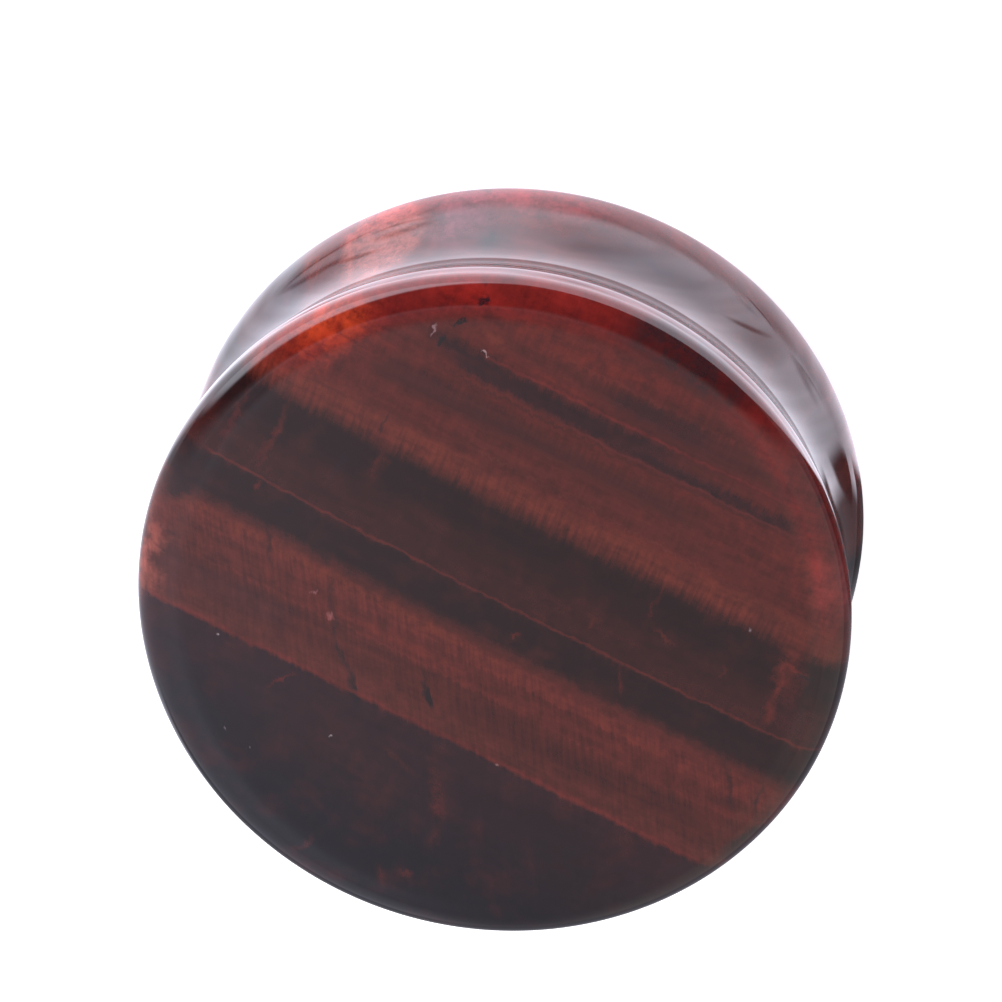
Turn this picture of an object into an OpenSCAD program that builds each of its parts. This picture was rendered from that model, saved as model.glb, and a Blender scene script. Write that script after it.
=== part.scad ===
// Double-flared ear plug turned from one piece of banded stone and polished all over.
// Millimetres, +Z up along the plug's axis, origin at the centre of the face it rests on.

/* [Size] */

// Width across the two flares
flare_width = 30; // [16:0.5:50]

// How far the wall dips below the flares at its middle, where the ear holds the plug
wall_depth = 0.94; // [0.7:0.02:1.3]

// Overall length from face to face
overall_length = 12.64; // [11:0.02:18]

/* [Rim] */

// Radius of the round edge between each flat face and the crest of its flare
edge_radius = 1.15; // [0.8:0.05:1.6]

// Radius of the broader rounding from the crest of the flare into the wall
crest_radius = 5; // [3:0.1:6]

/* [Hidden] */

curve_steps = 180;
flare_radius = flare_width / 2;
waist_radius = flare_radius - wall_depth;
mid_height = overall_length / 2;

// Centres of the two roundings, as radius and height; they meet at the crest of the flare
edge_centre = [flare_radius - edge_radius, edge_radius];
crest_centre = [flare_radius - crest_radius, edge_radius];

// Centre of the hollow of the wall, set so that it runs smoothly into both crests
half_span = mid_height - edge_radius;
crest_reach = crest_radius - wall_depth;
hollow_radius = (pow(half_span, 2) + pow(crest_reach, 2) - pow(crest_radius, 2)) / (2 * wall_depth);
hollow_centre = [waist_radius + hollow_radius, mid_height];

// Where the rounding of the crest hands over to the hollow
wall_turn = atan2(hollow_centre[1] - crest_centre[1], hollow_centre[0] - crest_centre[0]);
wall_start = crest_centre + crest_radius * [cos(wall_turn), sin(wall_turn)];

// How far the sides of a slice run, so that its disc lies inside them
slice_reach = 1.5 * crest_radius;

// Colour of the stone in the preview
stone_colour = [0.33, 0.12, 0.10];

// Broader rounding behind the crest, a slice of a disc from the crest to the wall
module crest_slice() {
  intersection() {
    translate(crest_centre)
      circle(r = crest_radius, $fn = curve_steps);
    polygon([
      crest_centre,
      crest_centre + [slice_reach, 0],
      crest_centre + slice_reach * [cos(wall_turn), sin(wall_turn)]
    ]);
  }
}

// Outline of one flare, from its flat face to where the wall begins
module flare_outline() {
  square([edge_centre[0], wall_start[1]]);
  translate(edge_centre)
    circle(r = edge_radius, $fn = curve_steps);
  crest_slice();
}

// Outline between the flares, hollowed by one arc
module wall_outline() {
  difference() {
    translate([0, crest_centre[1]])
      square([wall_start[0], overall_length - 2 * crest_centre[1]]);
    translate(hollow_centre)
      circle(r = hollow_radius, $fn = curve_steps);
  }
}

// The whole plug, solid from face to face
module stone_plug() {
  color(stone_colour)
    rotate_extrude($fn = curve_steps) {
      flare_outline();
      translate([0, overall_length])
        mirror([0, 1])
          flare_outline();
      wall_outline();
    }
}

stone_plug();
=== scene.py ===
from math import radians
import bpy
import numpy as np
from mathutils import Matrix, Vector


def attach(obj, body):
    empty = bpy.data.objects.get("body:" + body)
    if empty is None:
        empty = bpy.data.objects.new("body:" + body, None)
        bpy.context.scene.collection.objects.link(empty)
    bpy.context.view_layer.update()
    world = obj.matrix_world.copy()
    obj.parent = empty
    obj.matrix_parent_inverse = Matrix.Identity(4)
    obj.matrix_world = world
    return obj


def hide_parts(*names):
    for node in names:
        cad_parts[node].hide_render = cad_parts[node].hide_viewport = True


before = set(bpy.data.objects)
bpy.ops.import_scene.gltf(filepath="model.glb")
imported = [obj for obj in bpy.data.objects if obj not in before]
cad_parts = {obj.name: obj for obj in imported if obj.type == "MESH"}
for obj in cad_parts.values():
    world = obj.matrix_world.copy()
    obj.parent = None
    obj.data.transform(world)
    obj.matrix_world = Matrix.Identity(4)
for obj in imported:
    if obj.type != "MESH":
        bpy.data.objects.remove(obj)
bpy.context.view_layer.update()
print("plug: packed solid loaded")

perMetre = 1000.0                        # millimetres in a metre

# The plug: its outline in millimetres, from the axis and from the face it rests on
plug = {
    "length": 12.64,
    "flareRadius": 15.0,
    "faceRadius": 13.85,
    "edge": {"centre": (13.85, 1.15), "radius": 1.15, "from": -90.0, "to": 0.0, "steps": 28},
    "crest": {"centre": (10.0, 1.15), "radius": 5.0, "from": 0.0, "to": 20.6096, "steps": 14},
    "hollow": {"centre": (23.7475, 6.32), "radius": 9.6875, "from": 200.6096, "to": 180.0, "steps": 22},
    "inset": 0.006,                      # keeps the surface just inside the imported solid
    "dome": {"start": 13.2, "drop": 0.06},  # the face dips a little before it turns into the edge
    "faceRings": 40,                     # rings across each face, and points around each ring
    "around": 384,
}


# Points of an arc: its centre plus the radius times the cosine and sine of each angle
def arcPoints(arc):
    turn = np.radians(np.linspace(arc["from"], arc["to"], arc["steps"] + 1))
    return np.array(arc["centre"]) + arc["radius"] * np.stack([np.cos(turn), np.sin(turn)], 1)


# Half outline from the face to the middle of the wall, then the same points mirrored about the middle.
# Near its edge the face dips by the drop times a squared ramp, and the dip fades out down the rounded edge
def plugOutline():
    flat = np.linspace(0, plug["faceRadius"], plug["faceRings"] + 1)[1:-1]
    face = np.stack([flat, np.zeros_like(flat)], 1)
    edge, crest, hollow = [arcPoints(plug[name]) for name in ("edge", "crest", "hollow")]
    half = np.concatenate([face, edge, crest[1:], hollow[1:]])
    dome = plug["dome"]
    part = np.clip((half[:, 0] - dome["start"]) / (plug["faceRadius"] - dome["start"]), 0, 1)
    fade = np.clip(1 - half[:, 1] / plug["edge"]["radius"], 0, 1)
    half[:, 1] += dome["drop"] * part ** 2 * fade ** 2
    half[:, 0] *= 1 - plug["inset"] / plug["flareRadius"]
    other = half[-2::-1] * [1, -1] + [0, plug["length"]]
    return np.concatenate([half, other])


# Turned surface: x and y are the radius times the cosine and sine of the angle, z is the outline's height,
# and a point closes each face
def turnedSurface(outline, around):
    angle = np.linspace(0, 2 * np.pi, around, endpoint=False)
    radius, height = outline[:, :1], outline[:, 1:]
    ring = np.stack([radius * np.cos(angle), radius * np.sin(angle), height + 0 * angle], 2).reshape(-1, 3)
    poles = [[0, 0, outline[0, 1]], [0, 0, outline[-1, 1]]]
    step = np.arange(around)
    after = (step + 1) % around
    row = np.arange(len(outline) - 1)[:, None] * around
    quads = np.stack([row + step, row + after, row + around + after, row + around + step], 2).reshape(-1, 4)
    last = (len(outline) - 1) * around
    bottom = np.stack([after, step, np.full(around, len(ring))], 1)
    top = np.stack([last + step, last + after, np.full(around, len(ring) + 1)], 1)
    return np.concatenate([ring, poles]), quads.tolist() + bottom.tolist() + top.tolist()


def meshPiece(name, points, faces, material):
    mesh = bpy.data.meshes.new(name)
    mesh.from_pydata(points.tolist(), [], faces)
    mesh.shade_smooth()
    mesh.materials.append(material)
    piece = bpy.data.objects.new(name, mesh)
    bpy.context.scene.collection.objects.link(piece)
    return piece


# A socket that takes part in sums: each operator adds one Math node
class Field:
    def __init__(self, graph, socket):
        self.graph, self.socket = graph, socket

    def math(self, operation, *values):
        return self.graph.node("ShaderNodeMath", {"operation": operation}, dict(enumerate(values)))

    def __add__(self, other):
        return self.math("ADD", self, other)

    def __radd__(self, other):
        return self.math("ADD", other, self)

    def __sub__(self, other):
        return self.math("SUBTRACT", self, other)

    def __rsub__(self, other):
        return self.math("SUBTRACT", other, self)

    def __mul__(self, other):
        return self.math("MULTIPLY", self, other)

    def __rmul__(self, other):
        return self.math("MULTIPLY", other, self)

    def __abs__(self):
        return self.math("ABSOLUTE", self)


# A node tree with one method that adds any node and gives back one of its sockets
class Graph:
    def __init__(self, tree):
        self.tree = tree
        tree.nodes.clear()

    def node(self, kind, settings, inputs, out=0):
        made = self.tree.nodes.new(kind)
        for key, value in settings.items():
            setattr(made, key, value)
        for key, value in inputs.items():
            if isinstance(value, Field):
                self.tree.links.new(value.socket, made.inputs[key])
            else:
                made.inputs[key].default_value = value
        return Field(self, made.outputs[out]) if made.outputs else made

    def vector(self, operation, values, out=0):
        return self.node("ShaderNodeVectorMath", {"operation": operation}, values, out)

    def length(self, vector):
        return self.vector("LENGTH", {0: vector}, "Value")

    def along(self, vector, way):
        return self.vector("DOT_PRODUCT", {0: vector, 1: way}, "Value")

    def separate(self, vector):
        return [self.node("ShaderNodeSeparateXYZ", {}, {"Vector": vector}, name) for name in "XYZ"]

    def combine(self, x, y, z=0.0):
        return self.node("ShaderNodeCombineXYZ", {}, {"X": x, "Y": y, "Z": z})

    def multiplyAdd(self, value, factor, added):
        return self.node("ShaderNodeMath", {"operation": "MULTIPLY_ADD"}, {0: value, 1: factor, 2: added})

    # Colour mix: sockets 6 and 7 are the two colours
    def mix(self, factor, first, second, how="MIX"):
        settings = {"data_type": "RGBA", "blend_type": how}
        return self.node("ShaderNodeMix", settings, {0: factor, 6: first, 7: second}, 2)

    # A smooth step from low at the start to high at the end
    def smooth(self, value, start, end, low=0.0, high=1.0):
        ends = {"From Min": start, "From Max": end, "To Min": low, "To Max": high}
        return self.node("ShaderNodeMapRange", {"interpolation_type": "SMOOTHSTEP"}, {"Value": value, **ends})

    def noise(self, vector, grain, detail=2.0, roughness=0.5):
        look = {"Scale": 1.0 / grain, "Detail": detail, "Roughness": roughness}
        return self.node("ShaderNodeTexNoise", {"noise_dimensions": "3D"}, {"Vector": vector, **look})


# A colour as a screen shows it, 0 to 255, turned into the linear value that a shader takes
def screen(red, green, blue):
    shade = np.array([red, green, blue]) / 255.0
    linear = np.where(shade <= 0.04045, shade / 12.92, ((shade + 0.055) / 1.055) ** 2.4)
    return (*linear.tolist(), 1.0)


# The stone. Along and across are millimetres on the face, along its layers and square to them
stone = {
    "layerTurn": 25.0,                   # degrees from the layers to the plug's X axis
    "lean": 0.10,                        # how far the layers lean for each millimetre of depth
    "field": screen(79, 26, 17),         # colour of the bright field above the first layer
    "span": (-15.2, 15.2),               # levels that the ramp of layers covers
    "slopes": (-0.013, -0.023),          # how the layers fall along the face, below and above
    "slopeReach": (-5.5, -2.5),          # and where one fall becomes the other
    "bows": (-0.0003, 0.0012),           # how the layers bow, below and above
    "bowReach": (-3.0, 0.0),
    # Noises: size of the grain in millimetres, detail, roughness
    "drift": (1.7, 5.0, 0.62),
    "tremble": (0.45, 1.0),
    "speckle": (0.8, 4.5, 0.75),
    "waver": (0.35, 0.22),               # how far drift and tremble shift the layers
    "stray": {"along": (0.8, 0.5), "across": 0.3, "deep": 2.0},  # and how far they shift the marks
    # How the speckle breaks up the marks. Bands from this strength on, marks up to this half width and wall
    # marks from this softness on stay whole
    "grit": {"reach": (0.36, 0.58, 0.45, 1.0), "strength": 0.9, "halfWidth": 0.3, "softness": 1.0},
    # Silky threads that run across the layers, and how their slant changes from one level to the other
    "threads": {"scale": (5.0, 0.6, 0.3), "noise": (1.0, 2.5, 0.6), "reach": (0.3, 0.7, -1.0, 1.0)},
    "threadSlant": (0.0, 2.5, 0.55, 0.07),
    "fringe": 0.10,                      # how far the threads fray the edges of the layers
    # How threads, plies and mottling lighten and darken the stone
    "threadLight": 0.08,
    "plies": {"scale": (0.12, 2.2, 0.12), "noise": (1.0, 3.0, 0.6), "light": 1.1},
    "mottleLight": 1.5,
    # Bands of painted silky sheen, where the threads are lightened more: level, slope, bow, half width, blur,
    # start, end, fade, strength
    "paintedSilkSheen": [
        (5.55, -0.03, 0.001, 0.45, 0.7, -14, 11, 2, 0.10),
        (-3.10, -0.02, 0.0, 2.2, 0.9, -15, 15, 2, 0.09),
    ],
    "wisps": (0.46, 0.70, 0.0, 0.30),    # how much the drift shows as wisps of red in the dark layers
    "wispColour": screen(70, 24, 18),
    # Upper edge of each layer from the bright rim down: level, blur, colour
    "layers": [
        (6.25, 0.5, screen(90, 35, 23)),
        (5.00, 0.8, screen(30, 10, 7)),
        (2.80, 1.6, screen(48, 17, 12)),
        (0.92, 0.25, screen(28, 11, 9)),
        (-0.92, 0.80, screen(88, 33, 24)),
        (-2.05, 0.25, screen(80, 29, 20)),
        (-3.20, 0.40, screen(72, 26, 18)),
        (-4.60, 0.80, screen(76, 30, 22)),
        (-5.74, 0.20, screen(37, 17, 20)),
        (-7.80, 3.0, screen(21, 11, 17)),
        (-10.6, 2.0, screen(7, 8, 16)),
    ],
    # Bands inside the layers: level, slope, bow, half width, blur, start, end, fade, colour, strength
    "bands": [
        (12.60, 0.0, 0.0, 0.50, 0.80, -8.0, 4.0, 3.0, screen(92, 27, 16), 0.8),
        (12.05, 0.0, -0.001, 0.07, 0.15, -3.0, 7.0, 3.0, screen(100, 36, 24), 0.6),
        (11.35, 0.0, 0.0, 0.40, 0.50, -0.5, 7.5, 2.0, screen(60, 22, 17), 0.6),
        (10.95, 0.0, 0.0, 0.20, 0.30, -6.0, 2.5, 2.0, screen(90, 27, 17), 0.7),
        (10.15, 0.0, 0.0075, 0.30, 0.65, -7.4, 3.4, 1.8, screen(29, 11, 12), 0.95),
        (9.75, -0.02, 0.001, 0.26, 0.45, -6.2, 9.6, 1.6, screen(30, 11, 14), 0.9),
        (11.45, 0.01, 0.0, 0.50, 0.60, 0.4, 4.4, 1.2, screen(34, 12, 12), 0.8),
        (9.20, -0.01, 0.002, 0.06, 0.15, -6.5, 8.0, 2.0, screen(46, 18, 15), 0.7),
        (8.20, -0.02, 0.0, 0.42, 0.65, -10.0, 5.5, 2.5, screen(52, 20, 16), 0.8),
        (8.90, 0.0, 0.0, 0.10, 0.25, -3.0, 9.0, 2.0, screen(84, 28, 17), 0.6),
        (7.00, 0.0, 0.0, 0.40, 0.60, -5.0, 8.0, 2.0, screen(74, 27, 18), 0.6),
        (6.62, -0.04, 0.0, 0.04, 0.10, -3.5, 8.0, 1.5, screen(92, 44, 34), 0.4),
        (4.20, -0.015, 0.0, 0.60, 1.00, -12.8, 11.2, 0.8, screen(22, 7, 4), 0.6),
        (-1.45, -0.035, 0.0, 0.20, 0.45, -19.0, 0.0, 10.0, screen(98, 39, 24), 0.85),
        (-2.02, -0.012, 0.0, 0.05, 0.12, -1.0, 9.0, 1.5, screen(98, 36, 24), 0.7),
        (-2.70, -0.012, 0.0, 0.20, 0.40, -6.0, 0.0, 3.0, screen(92, 33, 22), 0.7),
        (-3.12, -0.02, 0.0, 0.06, 0.14, -11.0, 8.0, 1.5, screen(92, 34, 24), 0.6),
        (-4.00, -0.01, 0.0, 0.55, 0.60, -13.6, -7.4, 1.2, screen(62, 26, 22), 0.7),
        (-4.15, -0.01, 0.0, 0.50, 0.60, 0.4, 8.2, 1.2, screen(60, 21, 15), 0.8),
        (-4.00, -0.01, 0.0, 0.45, 0.60, 8.8, 12.0, 1.0, screen(60, 21, 15), 0.7),
    ],
    # Thin bright veins: level, slope, bow, half width, blur, start, end, fade, colour, strength
    "veins": [
        (10.62, -0.008, 0.0, 0.06, 0.14, -5.2, 10.2, 0.8, screen(106, 31, 25), 0.65),
        (9.42, -0.01, 0.001, 0.05, 0.12, -1.0, 9.6, 1.5, screen(88, 32, 28), 0.7),
        (1.02, -0.024, 0.0013, 0.05, 0.11, -13.6, 15.0, 0.6, screen(88, 32, 25), 0.75),
        (-5.66, -0.013, -0.0003, 0.08, 0.26, -13.2, 12.6, 0.6, screen(104, 36, 29), 0.75),
    ],
    # Clouds, seams and cracks: along, across, depth, half sizes, turn, softness, colour, strength
    "marks": [
        # Clouds in the bright field
        (-5.0, 11.5, 0, (1.1, 0.35, 60), -15, 0.9, screen(98, 38, 24), 0.6),
        (10.9, 8.2, 0, (2.9, 1.9, 60), -45, 1.0, screen(92, 32, 21), 0.8),
        (3.6, 11.0, 0, (6.4, 2.6, 60), 0, 1.0, screen(52, 20, 18), 0.6),
        (-10.4, 8.4, 0, (3.2, 1.8, 60), 45, 1.0, screen(98, 28, 16), 0.8),
        (-10.9, 7.7, 0, (2.3, 0.8, 60), 60, 1.0, screen(132, 38, 14), 0.85),
        (-6.2, 8.6, 0, (0.9, 0.35, 60), 0, 1.0, screen(54, 22, 18), 0.6),
        (10.0, 5.7, 0, (1.6, 0.50, 60), 0, 1.0, screen(78, 30, 20), 0.7),
        (13.9, 4.1, 0, (0.9, 1.1, 60), 0, 0.8, screen(30, 13, 14), 0.8),
        (12.4, 3.4, 0, (0.7, 1.6, 60), 0, 0.6, screen(62, 22, 16), 0.8),
        (13.3, 2.1, 0, (1.6, 1.4, 60), 0, 0.9, screen(56, 21, 19), 0.9),
        (12.6, 5.8, 0, (1.0, 1.0, 60), 0, 0.9, screen(84, 31, 22), 0.8),
        # Upright seams through the dark layers
        (-11.4, 3.3, 0, (2.3, 0.26, 60), 90, 1.0, screen(88, 28, 18), 0.6),
        (-11.15, 1.05, 0, (0.40, 0.25, 60), 75, 1.0, screen(100, 32, 22), 0.6),
        (-13.2, 3.3, 0, (2.2, 0.25, 60), 90, 1.0, screen(76, 26, 22), 0.6),
        (-7.0, 4.3, 0, (1.3, 0.34, 60), 90, 1.0, screen(76, 25, 16), 0.6),
        (-10.1, 3.9, 0, (1.5, 0.55, 60), 75, 1.0, screen(56, 20, 14), 0.6),
        (-8.4, 3.3, 0, (1.4, 0.22, 60), 90, 1.0, screen(26, 20, 30), 0.5),
        (11.9, 4.1, 0, (2.4, 0.60, 60), 90, 1.0, screen(90, 33, 23), 0.9),
        (11.85, 3.15, 0, (0.95, 0.26, 60), 90, 1.0, screen(104, 38, 26), 0.6),
        (12.15, 1.8, 0, (1.0, 0.30, 60), -75, 1.0, screen(96, 34, 24), 0.7),
        (12.3, 4.0, 0, (0.70, 0.18, 60), -15, 1.0, screen(104, 36, 24), 0.7),
        (10.2, 5.2, 0, (1.3, 0.55, 60), 0, 1.0, screen(52, 20, 16), 0.6),
        (5.8, 3.9, 0, (1.3, 0.12, 60), 90, 1.0, screen(70, 22, 15), 0.6),
        (3.85, 2.0, 0, (0.45, 0.14, 60), 75, 1.0, screen(92, 30, 17), 0.6),
        (6.8, 2.85, 0, (0.9, 0.14, 60), -15, 1.0, screen(82, 28, 18), 0.6),
        (9.6, 2.5, 0, (0.7, 0.12, 60), 90, 1.0, screen(76, 26, 18), 0.5),
        (6.1, 0.1, 0, (0.9, 0.13, 60), -60, 1.0, screen(84, 25, 16), 0.6),
        (1.3, 0.0, 0, (0.35, 0.14, 60), 30, 1.0, screen(88, 26, 16), 0.6),
        (3.0, 2.1, 0, (3.2, 0.75, 60), 0, 1.0, screen(60, 21, 14), 0.6),
        # Rounded ends of the dark layers at the rim
        (14.2, -4.3, 0, (1.8, 0.9, 60), 60, 0.5, screen(28, 14, 14), 0.95),
        (-14.2, -0.6, 0, (0.9, 1.2, 60), -30, 0.6, screen(28, 12, 11), 0.9),
        # Clouds and twigs in the dark foot
        (-9.4, -9.8, 0, (5.6, 2.9, 60), -45, 1.0, screen(9, 13, 20), 0.85),
        (-2.4, -8.6, 0, (5.5, 2.4, 60), -15, 1.0, screen(48, 20, 18), 0.6),
        (1.4, -8.2, 0, (1.9, 0.60, 60), -60, 1.0, screen(76, 26, 21), 0.6),
        (1.8, -9.0, 0, (0.70, 0.55, 60), 0, 1.0, screen(88, 27, 22), 0.55),
        (2.1, -10.2, 0, (1.1, 0.40, 60), 90, 1.0, screen(66, 24, 20), 0.5),
        (1.0, -13.0, 0, (0.75, 0.40, 60), -45, 1.0, screen(80, 26, 22), 0.6),
        (1.9, -12.4, 0, (0.45, 0.28, 60), 30, 1.0, screen(84, 28, 24), 0.6),
        (-6.7, -6.6, 0, (0.9, 0.13, 60), 60, 1.0, screen(88, 27, 22), 0.7),
        (-2.6, -13.2, 0, (0.9, 0.22, 60), 75, 1.0, screen(66, 24, 24), 0.6),
        (7.6, -8.4, 0, (4.6, 1.9, 60), -30, 1.0, screen(18, 11, 13), 0.7),
        (-0.8, -7.6, 0, (1.6, 0.22, 60), -15, 1.0, screen(66, 26, 20), 0.5),
        # Dark cracks
        (-9.6, -1.2, 0, (1.50, 0.16, 60), -60, 0.9, screen(30, 17, 16), 0.6),
        (-7.2, -0.6, 0, (1.00, 0.20, 60), -45, 1.0, screen(28, 18, 17), 0.5),
        (-6.4, -1.8, 0, (1.10, 0.20, 60), -75, 1.0, screen(34, 19, 18), 0.5),
        (-5.8, -3.0, 0, (1.50, 0.20, 60), -60, 1.0, screen(34, 21, 19), 0.55),
        (-4.8, -4.3, 0, (1.40, 0.22, 60), -45, 0.9, screen(28, 20, 18), 0.75),
        (-3.7, -5.5, 0, (1.40, 0.24, 60), -60, 0.8, screen(15, 15, 16), 0.9),
        (-1.3, -3.7, 0, (0.80, 0.12, 60), -60, 1.0, screen(28, 16, 15), 0.6),
        (-0.8, -4.4, 0, (0.75, 0.22, 60), -45, 0.7, screen(14, 12, 13), 0.9),
        (-7.5, 6.0, 0, (0.70, 0.12, 60), 90, 0.8, screen(40, 22, 22), 0.7),
        (-6.6, 11.5, 0, (0.45, 0.14, 60), 60, 0.7, screen(12, 16, 16), 0.9),
        (-6.95, 10.45, 0, (0.40, 0.15, 60), 60, 0.7, screen(14, 16, 16), 0.9),
        (12.7, 3.9, 0, (0.60, 0.12, 60), 0, 0.8, screen(20, 18, 20), 0.8),
        (12.0, -1.8, 0, (1.60, 0.20, 60), -60, 1.0, screen(32, 17, 17), 0.6),
        (12.5, -2.7, 0, (0.50, 0.50, 60), 0, 1.0, screen(38, 18, 18), 0.6),
        (13.5, -2.1, 0, (1.50, 0.20, 60), -75, 1.0, screen(32, 18, 18), 0.6),
    ],
    # Pale scratches and dust on the polish of the face
    "dust": [
        (-7.42, 10.75, 0, (0.38, 0.06, 1), 75, 0.7, screen(150, 118, 120), 0.6),
        (-5.1, 10.73, 0, (0.34, 0.06, 1), -15, 0.7, screen(190, 152, 150), 0.8),
        (10.4, 10.0, 0, (0.40, 0.08, 1), 75, 0.8, screen(130, 84, 84), 0.5),
        (-9.9, -6.0, 0, (0.10, 0.10, 1), 0, 0.9, screen(170, 156, 156), 0.8),
        (-3.65, -8.0, 0, (0.09, 0.09, 1), 0, 0.9, screen(160, 150, 152), 0.8),
        (-7.9, -9.8, 0, (0.09, 0.09, 1), 0, 0.9, screen(130, 116, 122), 0.6),
        (-6.6, -10.1, 0, (0.09, 0.09, 1), 0, 0.9, screen(130, 120, 125), 0.6),
        (9.7, 4.8, 0, (0.11, 0.11, 1), 0, 0.9, screen(150, 136, 142), 0.7),
        (-7.0, -2.2, 0, (0.20, 0.16, 1), 15, 0.9, screen(150, 92, 92), 0.6),
        (-6.0, -2.9, 0, (0.20, 0.16, 1), -30, 0.9, screen(144, 84, 84), 0.6),
        (3.1, -5.8, 0, (0.14, 0.08, 1), 0, 0.8, screen(170, 124, 120), 0.7),
    ],
    # Marks that only the rim and the wall show, partly the stone's own patches and partly painted reflections
    # in the polish and a painted glow of light through the rim: azimuth, height, half width and height,
    # softness, colour, strength
    "wallMarksAndPaintedLight": [
        # The salmon block and the mauve, grey-green and dark grey stretches are painted reflections in the
        # polish; the orange stretch and the pale red edge are a painted glow of light through the rim
        (116, 3.9, (2.3, 4.0), 0.35, screen(152, 76, 60), 0.80),      # salmon block
        (135, 4.6, (4.8, 2.6), 0.9, screen(48, 26, 38), 0.7),         # mauve stretch beyond it
        (145, 4.6, (1.6, 0.60), 0.9, screen(30, 18, 30), 0.8),
        (101, 3.8, (2.1, 3.8), 0.8, screen(106, 52, 55), 0.8),
        (94.8, 5.3, (1.3, 1.7), 0.9, screen(22, 34, 32), 0.95),       # grey-green patch
        (86, 2.2, (4.0, 1.6), 0.9, screen(124, 52, 50), 0.8),
        (100, 1.9, (3.0, 1.2), 0.9, screen(120, 62, 64), 0.7),
        (80, 4.8, (3.4, 1.2), 0.9, screen(44, 28, 30), 0.7),
        (63, 4.8, (6.4, 2.3), 0.8, screen(20, 14, 26), 0.85),         # dark grey stretch
        (20, 4.0, (4.0, 3.0), 0.9, screen(52, 26, 30), 0.6),
        (117, 12.2, (3.2, 1.3), 0.9, screen(122, 56, 22), 0.95),      # orange stretch of the rim
        (56, 12.2, (3.9, 1.3), 0.5, screen(34, 24, 22), 0.95),        # dark stretch of the rim
        (91, 12.38, (0.30, 0.26), 0.6, screen(8, 14, 18), 0.9),       # blue-black fleck
        (171, 12.25, (3.0, 0.50), 1.0, screen(150, 74, 60), 0.7),     # pale red edge
        (9, 12.2, (2.4, 1.4), 1.0, screen(104, 58, 50), 0.7),
        (24, 12.2, (3.4, 1.4), 1.0, screen(58, 22, 17), 0.6),
    ],
    "wallRadius": 14.3,                  # wall marks are centred at this radius,
    "wallDepth": 2.5,                    # have this half size along it,
    "wallStep": 15,                      # and turn by whole steps of these degrees
    "rounding": (13.2, 13.95),           # from the face's own look to that of the rim and the wall
    # Painted light: how a painted glow of light through the rim and painted shade in the hollow of the wall
    # tint the stone, the heights from the middle of the wall between which one becomes the other, and the
    # levels between which the tint sets in
    "rimTone": (1.7, 0.8, 0.9, 1.0),
    "hollowPaintedShade": (0.75, 0.8, 0.9, 1.0),
    "toneReach": (3.0, 5.4),
    "toneLevels": (5.3, 7.8),
    # The polish: its roughness and how much the mottling changes that, and its faint waves in metres
    "roughness": (0.06, 0.05),
    "refraction": 1.54,
    "waves": {"noise": (0.003, 0.0), "height": 0.00001, "strength": 0.6},
}


# A smooth course across the face: start, plus slope times along, plus bow times along squared
def courseOf(graph, along, sweep, start, slope, bow):
    course = graph.multiplyAdd(along, slope, start)
    return graph.multiplyAdd(sweep, bow, course) if bow else course


# How much a band covers: full within the half width of its course, fading over the blur and past its ends
def bandCover(graph, along, sweep, level, band, strength):
    start, slope, bow, half, blur, first, last, fade = band[:8]
    away = abs(level - courseOf(graph, along, sweep, start, slope, bow))
    beyond = abs(along - (first + last) / 2)
    reach = (last - first) / 2
    across = graph.smooth(away, half + blur / 2, half - blur / 2, 0.0, strength)
    return across * graph.smooth(beyond, reach + fade / 2, reach - fade / 2)


# How much a mark covers: an ellipsoid, full inside and fading to nothing at its rim, measured in a frame
# turned with it, which marks of the same turn share
def markCover(graph, frames, mark):
    along, across, depth, sizes, turn, softness = mark[:6]
    cosine, sine = np.cos(radians(turn)), np.sin(radians(turn))
    centre = np.array([cosine * along + sine * across, cosine * across - sine * along, depth])
    if turn not in frames:
        turned = {"Vector": frames["spot"], "Rotation": (0, 0, -radians(turn))}
        frames[turn] = graph.node("ShaderNodeMapping", {}, turned)
    scale, shift = (1 / np.array(sizes)).tolist(), (-centre / sizes).tolist()
    inside = graph.vector("MULTIPLY_ADD", {0: frames[turn], 1: scale, 2: shift})
    return graph.smooth(graph.length(inside), 1.0, 1.0 - softness, 0.0, mark[7])


# A wall mark written as a mark in the layers' frame, with its tangent, radial and upright half sizes. Its
# turn goes to the nearest step, so that marks share their frames
def wallMark(azimuth, height, sizes, softness, colour, strength):
    around = azimuth + stone["layerTurn"]
    along = stone["wallRadius"] * np.cos(radians(around))
    across = stone["wallRadius"] * np.sin(radians(around))
    turn = round((around - 90) / stone["wallStep"]) * stone["wallStep"]
    halves = (sizes[0], stone["wallDepth"], sizes[1])
    return along, across, height - plug["length"], halves, turn, softness, colour, strength


# The colour of the layers by level, as a ramp whose stops sit half a blur to either side of each edge
def layerColour(graph, level):
    low, high = stone["span"]
    share = graph.node("ShaderNodeMapRange", {}, {"Value": level, "From Min": low, "From Max": high})
    ramp = graph.node("ShaderNodeValToRGB", {}, {"Fac": share})
    stops, above = [], stone["field"]
    for edge, blur, shade in stone["layers"]:
        stops += [(edge + blur / 2, above), (edge - blur / 2, shade)]
        above = shade
    elements = ramp.socket.node.color_ramp.elements
    elements[0].color, elements[1].color = above, stone["field"]
    for place, shade in stops:
        elements.new((place - low) / (high - low)).color = shade
    return ramp


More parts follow.
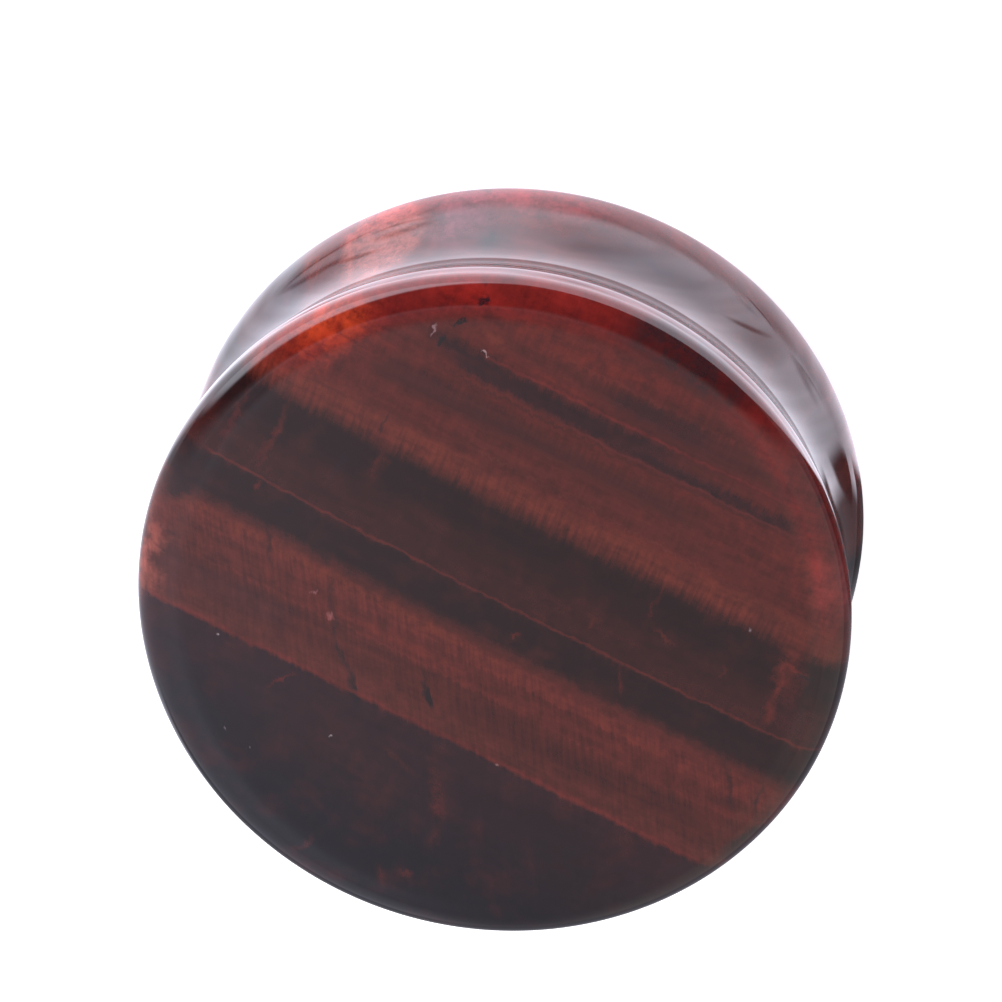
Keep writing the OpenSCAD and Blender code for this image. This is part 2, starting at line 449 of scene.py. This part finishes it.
# The stone's colour on the face and on the wall, how much of the wall's shows, and the mottling
def stonePattern(graph):
    spot = graph.node("ShaderNodeTexCoord", {}, {}, "Object")
    place = graph.node("ShaderNodeMapping", {}, {
        "Vector": spot, "Scale": (perMetre, perMetre, perMetre), "Location": (0, 0, -plug["length"]),
        "Rotation": (0, 0, radians(stone["layerTurn"]))})
    along, across, deep = graph.separate(place)
    radius = graph.length(graph.combine(along, across))
    sweep = along * along

    # The noises, and the level of a place in the stone, which waver and tremble shift
    drift = graph.noise(place, *stone["drift"])
    waver = drift - 0.5
    tremble = graph.noise(place, *stone["tremble"]) - 0.5
    speckle = graph.noise(place, *stone["speckle"])
    mottle = speckle - 0.5
    grit = graph.smooth(speckle, *stone["grit"]["reach"])
    fine, coarse, deepen = stone["threads"]["scale"]
    slant = graph.smooth(across, *stone["threadSlant"])
    thread = graph.combine(fine * (along + slant * across), coarse * across, deepen * deep)
    threads = graph.smooth(graph.noise(thread, *stone["threads"]["noise"]), *stone["threads"]["reach"])
    driftShift, trembleShift = stone["waver"]
    level = across + stone["lean"] * deep + driftShift * waver + trembleShift * tremble
    fringed = level + stone["fringe"] * threads

    # The layers, then bands inside them, marks and thin veins over them
    slope = graph.smooth(across, *stone["slopeReach"], *stone["slopes"])
    bow = graph.smooth(across, *stone["bowReach"], *stone["bows"])
    colour = layerColour(graph, fringed - slope * along - bow * sweep)
    for band in stone["bands"]:
        cover = bandCover(graph, along, sweep, fringed, band, band[9])
        broken = band[9] < stone["grit"]["strength"]
        colour = graph.mix(grit * cover if broken else cover, colour, band[8])
    stray = stone["stray"]
    loose = graph.combine(along + stray["along"][0] * waver - stray["along"][1] * tremble,
                          fringed - stray["across"] * waver, deep + stray["deep"] * waver)
    frames = {"spot": loose}
    for mark in stone["marks"]:
        cover = markCover(graph, frames, mark)
        broken = mark[3][1] > stone["grit"]["halfWidth"]
        colour = graph.mix(grit * cover if broken else cover, colour, mark[6])
    for vein in stone["veins"]:
        colour = graph.mix(bandCover(graph, along, sweep, level, vein, vein[9]), colour, vein[8])
    colour = graph.mix(graph.smooth(drift, *stone["wisps"]), colour, stone["wispColour"])

    # Threads, plies and mottling lighten and darken the stone, and the bands of painted silky sheen lighten
    # the threads more
    threadGrainAndSheen = stone["threadLight"]
    for band in stone["paintedSilkSheen"]:
        threadGrainAndSheen = threadGrainAndSheen + bandCover(graph, along, sweep, level, band, band[8])
    alongPly, acrossPly, deepPly = stone["plies"]["scale"]
    plies = graph.combine(alongPly * along, acrossPly * level, deepPly * deep)
    ply = graph.noise(plies, *stone["plies"]["noise"]) - 0.5
    light = 1.0 + threadGrainAndSheen * threads + stone["plies"]["light"] * ply + stone["mottleLight"] * mottle

    # The rim and the wall show marks of their own, partly painted reflections, then a painted glow by the rim
    # and painted shade in the hollow; dust and scratches lie on the face
    wall = colour
    for row in stone["wallMarksAndPaintedLight"]:
        cover = markCover(graph, frames, wallMark(*row))
        broken = row[3] < stone["grit"]["softness"]
        wall = graph.mix(grit * cover if broken else cover, wall, row[4])
    # Painted glow of light through the rim and painted shade in the hollow of the wall, multiplied into the
    # wall's colour
    fromMiddle = abs(deep + plug["length"] / 2)
    glowAndShade = graph.mix(graph.smooth(fromMiddle, *stone["toneReach"]), stone["hollowPaintedShade"], stone["rimTone"])
    glowAndShadeShare = graph.smooth(fringed, *stone["toneLevels"])
    wall = graph.mix(glowAndShadeShare, graph.vector("SCALE", {0: wall, "Scale": light}), glowAndShade, "MULTIPLY")
    face = colour
    for mark in stone["dust"]:
        face = graph.mix(markCover(graph, frames, mark), face, mark[6])
    face = graph.vector("SCALE", {0: face, "Scale": light})
    return face, wall, graph.smooth(radius, *stone["rounding"]), mottle


# Polished stone: one shader for the face and one for the rim and the wall, with the same faintly waved
# polish
def stoneMaterial():
    material = bpy.data.materials.new("polished_banded_stone")
    material.use_nodes = True
    graph = Graph(material.node_tree)
    face, wall, rounded, mottle = stonePattern(graph)
    waves = stone["waves"]
    swell = graph.noise(graph.node("ShaderNodeTexCoord", {}, {}, "Object"), *waves["noise"])
    normal = graph.node("ShaderNodeBump", {}, {
        "Height": swell, "Distance": waves["height"], "Strength": waves["strength"]})
    middle, change = stone["roughness"]
    polish = {"Roughness": middle + change * mottle, "IOR": stone["refraction"], "Normal": normal}
    faceShader = graph.node("ShaderNodeBsdfPrincipled", {}, {"Base Color": face, **polish})
    wallShader = graph.node("ShaderNodeBsdfPrincipled", {}, {"Base Color": wall, **polish})
    surface = graph.node("ShaderNodeMixShader", {}, {0: rounded, 1: faceShader, 2: wallShader})
    graph.node("ShaderNodeOutputMaterial", {}, {"Surface": surface})
    return material


outline = plugOutline()
points, faces = turnedSurface(outline / perMetre, plug["around"])
plugPiece = meshPiece("polished_plug", points, faces, stoneMaterial())
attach(plugPiece, "root")
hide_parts("stone_plug")
print("plug: turned surface of", len(faces), "faces")

# The white table and the light around it. The table's half width and mottling are in metres, and the other
# distances are millimetres from the plug's axis
studio = {
    "tableHalf": 1.5,
    "tableColours": [(0.82, 0.82, 0.82, 1.0), (0.80, 0.80, 0.80, 1.0)],
    "tableMottle": {"grain": 0.3, "reach": (0.3, 0.7)},
    "tableSeen": 0.80,                         # how much the table is lifted for the camera
    "glow": (1.0, 1.0, 1.16),                  # tint of what the polish picks up from the lit table
    "glowReach": (17.3, 19.8, 1.85, 3.4),      # over this distance the glow grows between these strengths
    "farReach": (22.0, 40.0, 1.0, 0.75),       # and further out it weakens again
    "leftWay": (-0.26, -0.97, 0.0),            # the way in which the glow weakens on the left,
    "leftReach": (-1.0, 5.0, 1.0, 0.4),        # from and to which distance, and between which strengths
    "shadeWay": (0.55, -0.835, 0.0),           # the way in which the table falls off into shade,
    "shadeReach": (5.6, 7.0),                  # and from and to which distance
    "litRing": (0.38, 0.62),                   # a ring by the plug stays lit: how it fades to either side,
    "litRadius": (7.4, 9.8, 16.8, 17.3),       # how its radius grows into the shade,
    "litFade": (7.2, 8.8, 0.0, 0.92),          # and how it gives way to the shade there
    "shade": 0.42,                             # strength of the glow in the shade
    "darkSpot": (26.0, 3.0, 20.0, 9.0),        # a darker patch of the shade: its centre and half sizes
    "darkSpotLevel": 0.10,                     # its strength,
    "darkSpotReach": (0.75, 1.1),              # and from and to which share of its half sizes it fades
    # Faint streaks in all of the glow: how the place is stretched, the noise, and how it dims and brightens
    "streaks": {"scale": (0.12, 0.7, 0.5), "noise": (1.0, 2.0), "reach": (0.3, 0.7, 0.88, 1.10)},
    # Dimmer patches and streaks of the glow, seen only in the polish of the wall: x, y, height, half sizes,
    # turn, softness, colour left out, strength
    "glowMarks": [
        (3.8, 18.0, 0, (5.0, 2.3, 60), -15, 1.0, None, 0.38),
        (9.4, 15.9, 0, (6.0, 1.6, 60), -30, 1.0, None, 0.25),
        (14.2, 11.6, 0, (3.4, 2.1, 60), -45, 1.0, None, 0.34),
        (-11.6, 13.8, 0, (4.4, 1.7, 60), 45, 1.0, None, 0.50),
        (-12.1, 13.4, 0, (3.4, 0.22, 60), 45, 0.7, None, 0.65),
        (-9.9, 15.0, 0, (2.4, 0.20, 60), 30, 0.7, None, 0.60),
        (-7.6, 17.2, 0, (3.0, 0.30, 60), 30, 0.8, None, 0.55),
        (13.6, 12.3, 0, (2.2, 0.24, 60), -30, 0.8, None, 0.75),
        (14.5, 13.1, 0, (2.2, 0.28, 60), -45, 0.8, None, 0.75),
        (16.5, 8.9, 0, (3.0, 0.26, 60), -75, 0.8, None, 0.45),
    ],
    # The room's lights, and the backdrop that only the camera sees
    "dim": (0.13, 0.12, 0.17, 1.0),
    "panel": (0.65, 0.575, 0.65, 1.0),
    "leftPanel": (1.03, 0.98, 1.15, 1.0),
    "rightPanel": (0.84, 0.78, 0.80, 1.0),
    "window": (4.0, 4.1, 4.7, 1.0),
    "backdrop": (0.96, 0.96, 0.96, 1.0),
    # Where they lie, by the X, Y and Z of the way a ray goes
    "leftSide": (-0.08, -0.27),                # from and to which X the panel turns into the left one,
    "rightSide": (-0.06, 0.20),                # and into the right one
    "panelEdge": (-0.11, -0.41),               # from and to which Y the panel sets in at its middle,
    "panelBend": (0.45, 0.28),                 # the climb of its edge, and how far left its middle is
    "windowSide": (0.08, -0.12),               # from and to which Z plus slant times X the window sets in,
    "windowSlant": 0.8,
    "windowNear": (0.15, 0.34),                # from and to which Y,
    "windowTop": (0.60, 0.35),                 # and from and to which Z
}


# The polish and the stone see a table whose glow depends on the place; the camera sees it plain and white
def tableMaterial():
    material = bpy.data.materials.new("white_table")
    material.cycles.emission_sampling = "NONE"
    material.use_nodes = True
    graph = Graph(material.node_tree)
    spot = graph.node("ShaderNodeTexCoord", {}, {}, "Object")
    mottle = studio["tableMottle"]
    blend = graph.smooth(graph.noise(spot, mottle["grain"]), *mottle["reach"])
    lit = graph.node("ShaderNodeBsdfDiffuse", {}, {"Color": graph.mix(blend, *studio["tableColours"])})
    lift = graph.node("ShaderNodeEmission", {}, {"Strength": studio["tableSeen"]})
    shown = graph.node("ShaderNodeAddShader", {}, {0: lit, 1: lift})

    # The lit table, with its dimmer patches and streaks
    place = graph.vector("SCALE", {0: spot, "Scale": perMetre})
    radius = graph.length(place)
    left = graph.smooth(graph.along(place, studio["leftWay"]), *studio["leftReach"])
    bright = left * graph.smooth(radius, *studio["glowReach"]) * graph.smooth(radius, *studio["farReach"])
    frames = {"spot": place}
    for mark in studio["glowMarks"]:
        bright = bright * (1.0 - markCover(graph, frames, mark))
    stretched = graph.vector("MULTIPLY", {0: place, 1: studio["streaks"]["scale"]})
    ripple = graph.noise(stretched, *studio["streaks"]["noise"])
    bright = bright * graph.smooth(ripple, *studio["streaks"]["reach"])

    # The shaded table, its darker patch, and the ring by the plug that stays lit
    spotX, spotY, wide, deep = studio["darkSpot"]
    scale, shift = (1 / wide, 1 / deep, 0), (-spotX / wide, -spotY / deep, 0)
    inside = graph.length(graph.vector("MULTIPLY_ADD", {0: place, 1: scale, 2: shift}))
    dark = graph.smooth(inside, *studio["darkSpotReach"], studio["darkSpotLevel"], studio["shade"])
    inward = graph.along(place, studio["shadeWay"])
    full, none = studio["litRing"]
    beside = abs(radius - graph.smooth(inward, *studio["litRadius"]))
    unlit = graph.smooth(beside, full, none, graph.smooth(inward, *studio["litFade"]))
    level = bright + unlit * graph.smooth(inward, *studio["shadeReach"]) * (dark - bright)

    glow = graph.vector("SCALE", {0: studio["glow"], "Scale": level})
    mirrored = graph.node("ShaderNodeEmission", {}, {"Color": glow})
    seen = graph.node("ShaderNodeLightPath", {}, {}, "Is Camera Ray")
    surface = graph.node("ShaderNodeMixShader", {}, {0: seen, 1: mirrored, 2: shown})
    graph.node("ShaderNodeOutputMaterial", {}, {"Surface": surface})
    return material


half = studio["tableHalf"]
corners = np.array([[-half, -half, 0], [half, -half, 0], [half, half, 0], [-half, half, 0]])
table = meshPiece("table_top", corners, [[0, 1, 2, 3]], tableMaterial())

# One soft lamp, which the polish doesn't mirror: metres and watts
keyLamp = {"place": (-0.45, 0.35, 0.60), "size": 0.5, "power": 5.0}
lamp = bpy.data.lights.new("key_lamp", "AREA")
lamp.size, lamp.energy = keyLamp["size"], keyLamp["power"]
keyBody = bpy.data.objects.new("key_lamp", lamp)
keyBody.location = keyLamp["place"]
keyBody.rotation_euler = Vector(keyLamp["place"]).to_track_quat("Z", "Y").to_euler()
keyBody.visible_glossy = False
keyBody.visible_camera = False
bpy.context.scene.collection.objects.link(keyBody)

# The room: soft light beyond the plug that brightens to the left, dim on the camera's side except for a low
# window on the left, and a pale backdrop
world = bpy.data.worlds.new("studio_room")
bpy.context.scene.world = world
world.use_nodes = True
world.cycles.sampling_method = "NONE"
room = Graph(world.node_tree)
wayX, wayY, wayZ = room.separate(room.node("ShaderNodeTexCoord", {}, {}, "Generated"))
panel = room.mix(room.smooth(wayX, *studio["leftSide"]), studio["panel"], studio["leftPanel"])
panel = room.mix(room.smooth(wayX, *studio["rightSide"]), panel, studio["rightPanel"])
bend, bendPlace = studio["panelBend"]
beyond = room.smooth(wayY - bend * abs(wayX + bendPlace), *studio["panelEdge"])
glow = room.mix(beyond, studio["dim"], panel)
side = room.smooth(wayZ + studio["windowSlant"] * wayX, *studio["windowSide"])
opening = side * room.smooth(wayY, *studio["windowNear"]) * room.smooth(wayZ, *studio["windowTop"])
glow = room.mix(opening, glow, studio["window"])
seen = room.node("ShaderNodeLightPath", {}, {}, "Is Camera Ray")
shade = room.node("ShaderNodeBackground", {}, {"Color": room.mix(seen, glow, studio["backdrop"])})
room.node("ShaderNodeOutputWorld", {}, {"Surface": shade})

# The camera stands over the +Y side, and its picture is turned so that the near wall is at the top. Metres,
# degrees, and millimetres for the lens and the sensor
view = {
    "place": (0.020988, 0.077065, 0.179686),
    "turn": (-23.0462, 6.9844, 0.0),
    "lens": 160.196,
    "sensor": 36.0,
    "clip": (0.01, 10.0),
}
lens = bpy.data.cameras.new("camera")
lens.lens, lens.sensor_width = view["lens"], view["sensor"]
lens.clip_start, lens.clip_end = view["clip"]
camera = bpy.data.objects.new("camera", lens)
camera.location = view["place"]
camera.rotation_euler = [radians(turn) for turn in view["turn"]]
bpy.context.scene.collection.objects.link(camera)
bpy.context.scene.camera = camera
bpy.context.scene.view_settings.view_transform = "Standard"
print("studio: table, lamp, room and camera set")
